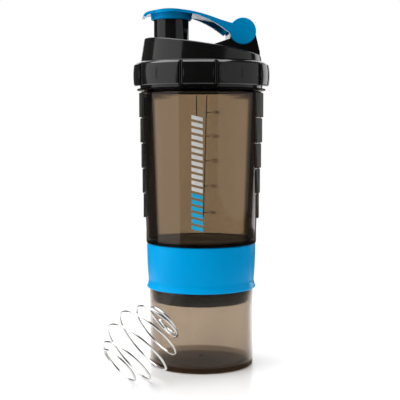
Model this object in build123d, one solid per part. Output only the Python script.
from build123d import *
import math
import os

# Protein shaker bottle, millimetres.  The origin is the centre of the base, +Z is up
# and +X points to the hinge of the flip cap.  From the table up: powder jar, pill jar
# (black liner with a blue band), main cup with grip pads, screw lid with a flip cap.
# A wire whisk ball lies on the table beside the bottle.

# ---------------------------------------------------------------- driving dimensions
WALL = 1.6                 # moulded wall of the cups
SEAT_GAP = 0.1             # air left between two shoulders that face each other
THREAD_GAP = 0.25          # radial air between a male and a female thread crest
THREAD_PITCH = 3.2
THREAD_HEIGHT = 0.6        # how far a thread stands out of its wall
THREAD_ROOT = 0.3          # how far a thread is sunk into its wall

JAR_RADIUS = 35.2          # powder jar
JAR_HEIGHT = 52.4
JAR_FLOOR = 3.3
JAR_NECK_WALL = 1.0        # thinner wall beside the thread

RING_DEPTH = 9.3           # the liner's threaded skirt hangs this far into the jar
BAND_BOTTOM = 52.75
BAND_TOP = 82.9
BAND_LIP_RADIUS = 37.1
BAND_WAIST_RADIUS = 35.9
BAND_TOP_RADIUS = 36.85
BAND_BORE = 34.4
LINER_WALL = 1.2
LINER_SHOULDER_RADIUS = 35.5
TRAY_HEIGHT = 17.5

CUP_BOTTOM = BAND_TOP + SEAT_GAP
CUP_FLOOR_TOP = 84.8
CUP_FOOT_RADIUS = 37.2     # outside of the cup just above its underside
CUP_TAPER = 0.04           # growth of the radius for each millimetre of height
CUP_SHOULDER = 184.4
CUP_NECK_RADIUS = 38.0
CUP_RIM = 202.0
FLANGE_RADIUS = 43.2
FLANGE_BOTTOM = 185.1
FLANGE_TOP = 186.3
FOOT_THREAD_RADIUS = 31.7  # male neck below the cup's floor
FOOT_THREAD_DEPTH = 8.4

PAD_COUNT = 5
PAD_TOP = 183.6
PAD_PITCH = 16.9
PAD_GAP = 0.7
PAD_HALF_ANGLE = 30.0      # wider than the grip's outline, which trims each pad
PAD_PROUD = 0.62           # a pad's top edge stands this far out of the cup
GRIP_TURN = -11.2          # degrees from the flip cap's line to the middle of the grips

COLLAR_BOTTOM = 187.9
COLLAR_TOP = 204.3
COLLAR_RADIUS = 45.9
COLLAR_BARREL = 0.5        # the collar is this much slimmer at its top and bottom
SKIRT_BOTTOM = 186.4
SKIRT_RADIUS = 41.3
LID_BORE = 39.9
LOBES = 5                  # wide lobes, with a narrow lobe between each two
WIDE_LOBE = 43.0           # degrees from groove to groove
LOBE_START = 5.8           # degrees from -Y towards +X to the first groove
GROOVE_RADIUS = 1.7
DOME_FOOT_RADIUS = 40.8
DOME_LEAN = 0.16           # the dome draws in by this much for each millimetre up
DOME_CENTRE_Z = 213.9      # height of the slanted roof over the axis
ROOF_ANGLE = 8.65          # degrees, falling towards +X
ROOF_THICKNESS = 2.0
DOME_WALL = 2.4

SPOUT_X = -20.1
SPOUT_RADIUS = 11.7
SPOUT_BORE = 9.0
SPOUT_TOP = 234.0

HINGE_X = 26.0
HINGE_Z = 224.0
PIN_RADIUS = 2.5
PIN_HALF_LENGTH = 13.5
PIN_CLEARANCE = 0.06
BRACKET_HALF_WIDTH = 11.5
BRACKET_ROUND = 7.4

CAP_SKIRT_BOTTOM = 231.6
CAP_SKIRT_RADIUS = 14.0
CAP_SKIRT_BORE = 12.4
CAP_PLAN_RADIUS = 15.3
SEAL_FLANGE = 1.2
SEAL_PLUG = 2.4
ARM_HALF_WIDTH = 15.0
PRONG_INNER = 12.0
DISC_RADIUS = 8.8
FAR_DISC_RADIUS = 6.2
ARM_NOTCH_X = 15.8         # the plate ends here, in front of the bracket

WIRE_RADIUS = 0.75
WHISK_RADIUS = 22.9        # the turns lie on a ball of this radius
WHISK_STRETCH = 1.06       # the ball is a little longer than wide
WHISK_CENTRE = (-43.8, -46.3, 24.3)
WHISK_ELEVATION = 37.6     # slope of the whisk's axis, degrees
WHISK_AZIMUTH = 27.8
WHISK_PHASE = -160.5       # where the first turn starts round the axis, degrees
WHISK_FIRST_LATITUDE = -54.0
WHISK_LAST_LATITUDE = 61.0
WHISK_LATITUDE_STEP = 27.9  # degrees of latitude for each turn
WHISK_END_TURNS = 0.8      # closed turn at each end
WHISK_POINTS_PER_TURN = 12

parts = {}


# ---------------------------------------------------------------- helpers
def outline(*corners):
    """Closed face from (x, y, corner radius) triples."""
    points = [(x, y) for x, y, _ in corners]
    radii = [radius for _, _, radius in corners]
    return make_face(FilletPolyline(*points, radius=radii, close=True))


def turned(*corners):
    """Body of revolution about Z from (radius, height, corner radius) triples."""
    return revolve(Plane.XZ * outline(*corners), Axis.Z)


def disc(radius, bottom, top, x=0.0):
    """Upright cylinder between two heights."""
    return Pos(x, 0, bottom) * extrude(Circle(radius), top - bottom)


def thread(wall_radius, outward, bottom, turns):
    """One helical ridge on a wall, standing outward (1) or inward (-1)."""
    path = Pos(0, 0, bottom) * Helix(THREAD_PITCH, THREAD_PITCH * turns, wall_radius)
    root, crest = -THREAD_ROOT * outward, THREAD_HEIGHT * outward
    ridge = Polyline((root, -0.8), (crest, -0.3), (crest, 0.3), (root, 0.8), close=True)
    start = Plane(path @ 0, x_dir=(1, 0, 0), z_dir=path % 0)
    return sweep(start * make_face(ridge), path, is_frenet=True)


def cup_radius(z):
    """Outside radius of the main cup at a height."""
    return CUP_FOOT_RADIUS + CUP_TAPER * (z - CUP_BOTTOM)


def below_roof(solid, drop=0.0):
    """The part of a solid under the slanted roof, lowered by a drop."""
    return split(solid, bisect_by=roof_plane(drop), keep=Keep.BOTTOM)


def above_roof(solid, drop=0.0):
    """The part of a solid over the slanted roof, lowered by a drop."""
    return split(solid, bisect_by=roof_plane(drop), keep=Keep.TOP)


def roof_plane(drop):
    """Plane of the lid's slanted top."""
    tilt = math.radians(ROOF_ANGLE)
    return Plane((0, 0, DOME_CENTRE_Z - drop), z_dir=(math.sin(tilt), 0, math.cos(tilt)))


# ---------------------------------------------------------------- powder jar
def powder_jar():
    bore = JAR_RADIUS - WALL
    neck_bore = JAR_RADIUS - JAR_NECK_WALL
    neck_bottom = JAR_HEIGHT - RING_DEPTH - 1.0
    body = turned(
        (0, 0, 0), (JAR_RADIUS, 0, 1.2), (JAR_RADIUS, JAR_HEIGHT, 0.4),
        (neck_bore, JAR_HEIGHT, 0.3), (neck_bore, neck_bottom, 0),
        (bore, neck_bottom - 0.5, 0), (bore, JAR_FLOOR, 2.5), (0, JAR_FLOOR, 0),
    )
    gate = disc(1.2, JAR_FLOOR - 0.5, JAR_FLOOR + 0.5)
    return body + gate + thread(neck_bore, -1, JAR_HEIGHT - 7.0, 1.4)


def lower_seal_ring():
    return turned(
        (33.6, JAR_HEIGHT, 0), (34.9, JAR_HEIGHT, 0),
        (34.9, BAND_BOTTOM + 0.45, 0), (33.6, BAND_BOTTOM + 0.45, 0),
    )


# ---------------------------------------------------------------- pill jar
def pill_jar_liner():
    neck_bore = JAR_RADIUS - JAR_NECK_WALL
    skirt = neck_bore - 2 * THREAD_HEIGHT - THREAD_GAP
    outer = BAND_BORE - 0.05
    bore = outer - LINER_WALL
    floor_top = BAND_BOTTOM + 1.6
    body = turned(
        (0, BAND_BOTTOM, 0), (skirt - 1.8, BAND_BOTTOM, 0),
        (skirt - 1.8, BAND_BOTTOM - RING_DEPTH, 0.3), (skirt, BAND_BOTTOM - RING_DEPTH, 0.5),
        (skirt, BAND_BOTTOM, 0), (LINER_SHOULDER_RADIUS, BAND_BOTTOM, 0),
        (LINER_SHOULDER_RADIUS, BAND_BOTTOM + 1.2, 0), (outer, BAND_BOTTOM + 1.2, 0),
        (outer, BAND_TOP - 0.5, 0.3), (bore, BAND_TOP - 0.5, 0.3),
        (bore, floor_top, 1.5), (0, floor_top, 0),
    )
    body -= turned(
        (33.55, BAND_BOTTOM - 1, 0), (34.95, BAND_BOTTOM - 1, 0),
        (34.95, BAND_BOTTOM + 0.45, 0), (33.55, BAND_BOTTOM + 0.45, 0),
    )
    jar_thread = thread(skirt, 1, BAND_BOTTOM - RING_DEPTH + 1.6, 1.9)
    cup_thread = thread(bore, -1, BAND_TOP - 7.0, 1.4)
    return body + jar_thread + cup_thread


def pill_jar_band():
    flare = ThreePointArc(
        (BAND_LIP_RADIUS, BAND_BOTTOM + 0.6),
        (BAND_WAIST_RADIUS + 0.25, BAND_BOTTOM + 2.9),
        (BAND_WAIST_RADIUS, BAND_BOTTOM + 6.0),
    )
    side = ThreePointArc(
        flare @ 1, (BAND_TOP_RADIUS - 0.25, BAND_TOP - 12.0), (BAND_TOP_RADIUS, BAND_TOP - 0.5)
    )
    rabbet = LINER_SHOULDER_RADIUS + 0.05
    rest = Polyline(
        side @ 1, (BAND_TOP_RADIUS - 0.5, BAND_TOP), (BAND_BORE, BAND_TOP),
        (BAND_BORE, BAND_BOTTOM + 1.2), (rabbet, BAND_BOTTOM + 1.2),
        (rabbet, BAND_BOTTOM), (BAND_LIP_RADIUS - 0.3, BAND_BOTTOM), flare @ 0,
    )
    return revolve(Plane.XZ * make_face(flare + side + rest), Axis.Z)


def pill_tray():
    radius = BAND_BORE - LINER_WALL - 1.6
    bottom = BAND_BOTTOM + 1.6
    top = bottom + TRAY_HEIGHT
    wall = 1.2
    tray = disc(radius, bottom, top) - disc(radius - wall, bottom + wall, top)
    for angle in (0, 90):
        tray += Rot(0, 0, angle) * Pos(0, 0, (bottom + top) / 2) * Box(
            2 * radius - wall, wall, top - bottom
        )
    return tray


# ---------------------------------------------------------------- main cup
def main_cup():
    foot_bore = FOOT_THREAD_RADIUS - 1.5
    foot_end = CUP_BOTTOM - FOOT_THREAD_DEPTH
    shoulder_radius = cup_radius(CUP_SHOULDER)
    neck_bore = CUP_NECK_RADIUS - WALL
    bend = CUP_SHOULDER - 1.5
    body = turned(
        (0, CUP_BOTTOM, 0), (foot_bore, CUP_BOTTOM, 0), (foot_bore, foot_end, 0.3),
        (FOOT_THREAD_RADIUS, foot_end, 0.5), (FOOT_THREAD_RADIUS, CUP_BOTTOM, 0),
        (CUP_FOOT_RADIUS, CUP_BOTTOM, 0.6), (shoulder_radius, CUP_SHOULDER, 1.6),
        (CUP_NECK_RADIUS + 0.5, CUP_SHOULDER, 0), (CUP_NECK_RADIUS + 0.5, FLANGE_BOTTOM, 0),
        (FLANGE_RADIUS, FLANGE_BOTTOM, 0.4), (FLANGE_RADIUS, FLANGE_TOP, 0.4),
        (CUP_NECK_RADIUS, FLANGE_TOP, 0), (CUP_NECK_RADIUS, CUP_RIM, 0.4),
        (neck_bore, CUP_RIM, 0.6), (neck_bore, bend, 3.0),
        (cup_radius(bend - 3) - WALL, bend - 3, 2.0),
        (cup_radius(CUP_FLOOR_TOP) - WALL, CUP_FLOOR_TOP, 2.5), (0, CUP_FLOOR_TOP, 0),
    )
    lid_thread = thread(CUP_NECK_RADIUS, 1, 190.5, 2.2)
    jar_thread = thread(FOOT_THREAD_RADIUS, 1, foot_end + 1.8, 1.3)
    return body + lid_thread + jar_thread


def upper_seal_ring():
    return turned(
        (32.0, BAND_TOP - 0.5, 0), (34.2, BAND_TOP - 0.5, 0),
        (34.2, CUP_BOTTOM, 0), (32.0, CUP_BOTTOM, 0),
    )


def grip_outline():
    """Shield shape of a whole grip, seen from its side: wide at the top, narrow below."""
    edge = Spline((19.4, 184.6), (16.5, 158.0), (11.2, 124.0), (4.0, 96.0))
    other = Spline((-19.4, 184.6), (-16.5, 158.0), (-11.2, 124.0), (-4.0, 96.0))
    ends = [Line(edge @ 0, other @ 0), Line(edge @ 1, other @ 1)]
    return extrude(Plane.YZ * make_face(Curve() + [edge, other] + ends), 60)


def grip_pad(index, side):
    """One pad of a side grip; its face is upright while the cup tapers behind it."""
    top = PAD_TOP - index * PAD_PITCH
    bottom = top - PAD_PITCH + PAD_GAP
    face = cup_radius(top) + PAD_PROUD
    section = outline(
        (cup_radius(bottom), bottom, 0), (face, bottom, 0.35),
        (face, top, 0.35), (cup_radius(top), top, 0),
    )
    pad = revolve(Plane.XZ * section, Axis.Z, revolution_arc=2 * PAD_HALF_ANGLE)
    pad = (Rot(0, 0, -PAD_HALF_ANGLE) * pad) & grip_outline()
    middle = 0 if side > 0 else 180
    return Rot(0, 0, middle + GRIP_TURN) * pad


def grip_pads(side):
    return Compound([grip_pad(index, side) for index in range(PAD_COUNT)])


# ---------------------------------------------------------------- lid
def groove_angles():
    """Where the grooves between the lobes stand, in degrees from +X."""
    starts = [LOBE_START - 90 + lobe * 360 / LOBES for lobe in range(LOBES)]
    return [angle for start in starts for angle in (start, start + WIDE_LOBE)]


def lobed_prism():
    """Collar blank: wide and narrow lobes between round grooves, wide ones with a crease."""
    plan = Circle(COLLAR_RADIUS) - [
        Rot(0, 0, angle) * Pos(COLLAR_RADIUS - 0.3, 0) * Circle(GROOVE_RADIUS)
        for angle in groove_angles()
    ]
    prism = extrude(plan, COLLAR_TOP - COLLAR_BOTTOM)
    prism = fillet(prism.edges().filter_by(Axis.Z), 0.7)
    creases = [
        Rot(0, 0, angle + WIDE_LOBE / 2) * Pos(COLLAR_RADIUS + 0.9, 0) * Circle(1.2)
        for angle in groove_angles()[::2]
    ]
    return Pos(0, 0, COLLAR_BOTTOM) * (prism - extrude(Sketch() + creases, 20))


def collar():
    end_radius = COLLAR_RADIUS - COLLAR_BARREL
    middle = (COLLAR_BOTTOM + COLLAR_TOP) / 2
    side = ThreePointArc(
        (end_radius, COLLAR_BOTTOM + 0.6), (COLLAR_RADIUS, middle), (end_radius, COLLAR_TOP - 2.6)
    )
    shoulder = ThreePointArc(
        side @ 1, (end_radius - 1.9, COLLAR_TOP - 1.0), (end_radius - 4.6, COLLAR_TOP)
    )
    rest = Polyline(
        shoulder @ 1, (0, COLLAR_TOP), (0, COLLAR_BOTTOM), (end_radius - 0.6, COLLAR_BOTTOM), side @ 0
    )
    barrel = revolve(Plane.XZ * make_face(side + shoulder + rest), Axis.Z)
    return (lobed_prism() & barrel) + disc(SKIRT_RADIUS, SKIRT_BOTTOM, COLLAR_BOTTOM)


def dome_cone(foot_radius, bottom, top):
    """Frustum that follows the dome's lean."""
    lean = DOME_LEAN * (top - bottom)
    return Pos(0, 0, (bottom + top) / 2) * Cone(foot_radius, foot_radius - lean, top - bottom)


def dome():
    outer = below_roof(dome_cone(DOME_FOOT_RADIUS, COLLAR_TOP - 0.3, 224))
    return fillet(outer.edges().sort_by(Axis.Z)[-1], 0.9)


def lid_hollow():
    """Everything inside the lid: bore, seat of the gasket and the space under the roof."""
    bore = disc(LID_BORE, SKIRT_BOTTOM - 1, CUP_RIM + 1.2)
    under_roof = dome_cone(DOME_FOOT_RADIUS - DOME_WALL, CUP_RIM + 1, 224)
    return bore + below_roof(under_roof, ROOF_THICKNESS)


def spout():
    tube = disc(SPOUT_RADIUS, DOME_CENTRE_Z - 4, SPOUT_TOP, SPOUT_X)
    tube = fillet(tube.edges().sort_by(Axis.Z)[-1], 0.7)
    foot = Pos(SPOUT_X, 0, DOME_CENTRE_Z + 3) * Rot(0, ROOF_ANGLE, 0) * Cone(
        SPOUT_RADIUS + 0.9, SPOUT_RADIUS - 0.5, 2.8
    )
    return above_roof(tube + foot, ROOF_THICKNESS / 2)


def bracket():
    """Post that carries the hinge pin, with a sloping nose towards the spout."""
    post = outline(
        (0.5, 213.4, 0), (17.8, 219.3, 0), (17.8, HINGE_Z + 0.5, 0),
        (33.5, HINGE_Z + 0.5, 0), (35.0, 222.4, 0), (38.7, 207.6, 0), (20, 206, 0),
    )
    knuckle = Pos(HINGE_X, HINGE_Z) * Circle(BRACKET_ROUND)
    solid = extrude(Plane.XZ * (post + knuckle), BRACKET_HALF_WIDTH, both=True)
    return above_roof(solid, ROOF_THICKNESS / 2)


def pin_hole(radius, half_length):
    return extrude(Plane.XZ * Pos(HINGE_X, HINGE_Z) * Circle(radius), half_length, both=True)


def lid_body():
    shell = collar() + dome() - lid_hollow()
    shell += thread(LID_BORE, -1, 190.5, 2.2)
    shell += spout()
    shell += bracket() & disc(DOME_FOOT_RADIUS - 1.2, 200, 240)
    shell -= disc(SPOUT_BORE, 200, 240, SPOUT_X)
    return shell - pin_hole(PIN_RADIUS, 20)


def lid_gasket():
    return turned(
        (36.8, CUP_RIM, 0), (LID_BORE - 0.4, CUP_RIM, 0),
        (LID_BORE - 0.4, CUP_RIM + 1.2, 0.3), (36.8, CUP_RIM + 1.2, 0.3),
    )


def hinge_pin():
    return pin_hole(PIN_RADIUS, PIN_HALF_LENGTH)


# ---------------------------------------------------------------- flip cap
def cap_top_line():
    """Top of the cap and arm seen from the side, from the thumb tab to the hinge."""
    return Spline(
        (-39.3, 233.3), (-38.4, 235.3), (-35.0, 236.8), (-21.0, 238.1),
        (-9.0, 237.0), (4.2, 233.7), (17.4, 229.5), (24.0, 228.5),
    )


def cap_under_line():
    """Underside of the plate, which is thinner along the arm."""
    return Spline(
        (-37.3, 233.3), (-36.7, 234.2), (-33.9, 235.0), (-21.0, 236.1),
        (-9.0, 235.2), (4.2, 232.3), (16.0, 228.5), (24.0, 227.1),
    )


def flange_under_line():
    """Lower edge of the side flanges, which deepen towards the hinge."""
    return Spline((-14.0, 236.3), (-2.3, 233.7), (4.2, 231.1), (10.8, 227.3), (17.2, 222.8))


def cap_plan():
    """Seen from above: round cap, thumb tab and an arm that widens to the hinge."""
    head = Pos(SPOUT_X, 0) * Circle(CAP_PLAN_RADIUS)
    arm = Polygon(
        (SPOUT_X, -14.2), (20, -ARM_HALF_WIDTH), (40, -ARM_HALF_WIDTH),
        (40, ARM_HALF_WIDTH), (20, ARM_HALF_WIDTH), (SPOUT_X, 14.2), align=None,
    )
    tab = outline((-41, -7.5, 2.5), (-28, -11.5, 0), (-28, 11.5, 0), (-41, 7.5, 2.5))
    return Pos(0, 0, 200) * extrude(head + arm + tab, 60)


def side_face(*lines):
    """Upright face in the XZ plane from the lines around it."""
    outline_lines = Curve() + list(lines)
    return Plane.XZ * make_face(outline_lines)


def cap_plate():
    top = cap_top_line()
    under = cap_under_line()
    side = side_face(top, under, Line(top @ 0, under @ 0), Line(top @ 1, under @ 1))
    plate = extrude(side, 20, both=True) & cap_plan()
    bay = Pos(ARM_NOTCH_X + 20, 0, HINGE_Z) * Box(40, 2 * PRONG_INNER, 40)
    return plate - bay


def below_top_line():
    """Everything under the cap's top line."""
    top = cap_top_line()
    rest = Polyline(top @ 1, (24, 210), (-39.3, 210), top @ 0)
    return extrude(side_face(top, rest), 30, both=True)


def flange(side):
    """Rail along one edge of the arm; the far one (+Y) ends square before its prong."""
    under = flange_under_line()
    rest = Polyline(under @ 1, (26, 222.6), (26, 240), (-14, 240), under @ 0)
    rail = Pos(0, side * (PRONG_INNER + 2), 0) * extrude(side_face(under, rest), 2, both=True)
    if side > 0:
        square_end = Pos(19.8, 0, 226.0) * Rot(0, 46, 0) * Pos(15, 0, -10)
        rail -= square_end * Box(30, 40, 20)
    return rail & cap_plan() & below_top_line()


def hinge_disc(side, radius):
    middle = side * (PRONG_INNER + ARM_HALF_WIDTH) / 2
    thickness = ARM_HALF_WIDTH - PRONG_INNER
    lens = extrude(Plane.XZ * Pos(HINGE_X, HINGE_Z) * Circle(radius), thickness / 2, both=True)
    lens = fillet(lens.edges().sort_by(Axis.Y)[0 if side < 0 else -1], 0.6)
    return Pos(0, middle, 0) * lens


def cap_socket():
    """Solid blank of the skirt that drops over the spout, with the boss behind the seal."""
    height = 238 - CAP_SKIRT_BOTTOM
    skirt = Pos(SPOUT_X, 0, CAP_SKIRT_BOTTOM + height / 2) * Cone(
        CAP_SKIRT_RADIUS - 0.5, CAP_SKIRT_RADIUS, height
    )
    skirt = fillet(skirt.edges().sort_by(Axis.Z)[0], 0.8)
    return skirt & below_top_line()


def flip_cap():
    cap = cap_plate() + cap_socket()
    for side, radius in ((-1, DISC_RADIUS), (1, FAR_DISC_RADIUS)):
        cap += flange(side)
        cap += hinge_disc(side, radius)
    cap -= disc(CAP_SKIRT_BORE, CAP_SKIRT_BOTTOM - 1, SPOUT_TOP + SEAL_FLANGE, SPOUT_X)
    return cap - pin_hole(PIN_RADIUS + PIN_CLEARANCE, PIN_HALF_LENGTH + PIN_CLEARANCE)


def spout_seal():
    flange_disc = disc(SPOUT_RADIUS - 0.4, SPOUT_TOP, SPOUT_TOP + SEAL_FLANGE, SPOUT_X)
    plug = Pos(SPOUT_X, 0, SPOUT_TOP - SEAL_PLUG / 2) * Cone(
        SPOUT_BORE - 0.9, SPOUT_BORE - 0.4, SEAL_PLUG
    )
    return flange_disc + plug


# ---------------------------------------------------------------- whisk
def whisk_frame():
    """Centre, axis and the two directions across the whisk."""
    slope = math.radians(WHISK_ELEVATION)
    turn = math.radians(WHISK_AZIMUTH)
    axis = Vector(
        math.cos(slope) * math.cos(turn), math.cos(slope) * math.sin(turn), math.sin(slope)
    )
    near = Vector(math.sin(turn), -math.cos(turn), 0)
    return Vector(*WHISK_CENTRE), axis, axis.cross(near) * -1, near


def whisk_point(turn):
    """Point of the wire after so many turns; the turns wind over a ball."""
    centre, axis, upward, near = whisk_frame()
    latitude = WHISK_FIRST_LATITUDE + WHISK_LATITUDE_STEP * turn
    latitude = math.radians(min(max(latitude, WHISK_FIRST_LATITUDE), WHISK_LAST_LATITUDE))
    angle = 2 * math.pi * turn + math.radians(WHISK_PHASE)
    across = upward * math.cos(angle) + near * math.sin(angle)
    along = axis * (WHISK_RADIUS * WHISK_STRETCH * math.sin(latitude))
    return centre + along + across * (WHISK_RADIUS * math.cos(latitude))


def bend_radii(points):
    """Arc radius at each inner point, as large as its two runs allow."""
    radii = []
    for before, here, after in zip(points, points[1:], points[2:]):
        first, second = here - before, after - here
        turn = math.radians(first.get_angle(second))
        radii.append(0.45 * min(first.length, second.length) / math.tan(turn / 2))
    return radii


def whisk():
    spiral_turns = (WHISK_LAST_LATITUDE - WHISK_FIRST_LATITUDE) / WHISK_LATITUDE_STEP
    first = -WHISK_END_TURNS
    count = round((spiral_turns + 2 * WHISK_END_TURNS) * WHISK_POINTS_PER_TURN)
    points = [whisk_point(first + i / WHISK_POINTS_PER_TURN) for i in range(count + 1)]
    path = FilletPolyline(*points, radius=bend_radii(points))
    section = Plane(path @ 0, z_dir=path % 0) * Circle(WIRE_RADIUS)
    return sweep(section, path)


def build_all():
    parts["powder_jar"] = powder_jar()
    parts["lower_seal_ring"] = lower_seal_ring()
    parts["pill_jar_liner"] = pill_jar_liner()
    parts["pill_jar_band"] = pill_jar_band()
    parts["pill_tray"] = pill_tray()
    parts["main_cup"] = main_cup()
    parts["upper_seal_ring"] = upper_seal_ring()
    parts["left_grip_pads"] = grip_pads(-1)
    parts["right_grip_pads"] = grip_pads(1)
    parts["lid_body"] = lid_body()
    parts["lid_gasket"] = lid_gasket()
    parts["hinge_pin"] = hinge_pin()
    parts["flip_cap"] = flip_cap()
    parts["spout_seal"] = spout_seal()
    parts["whisk"] = whisk()


os.makedirs("parts", exist_ok=True)
build_all()
for name, shape in parts.items():
    export_step(shape, f"parts/{name}.step")
    print(name, round(shape.volume, 1))
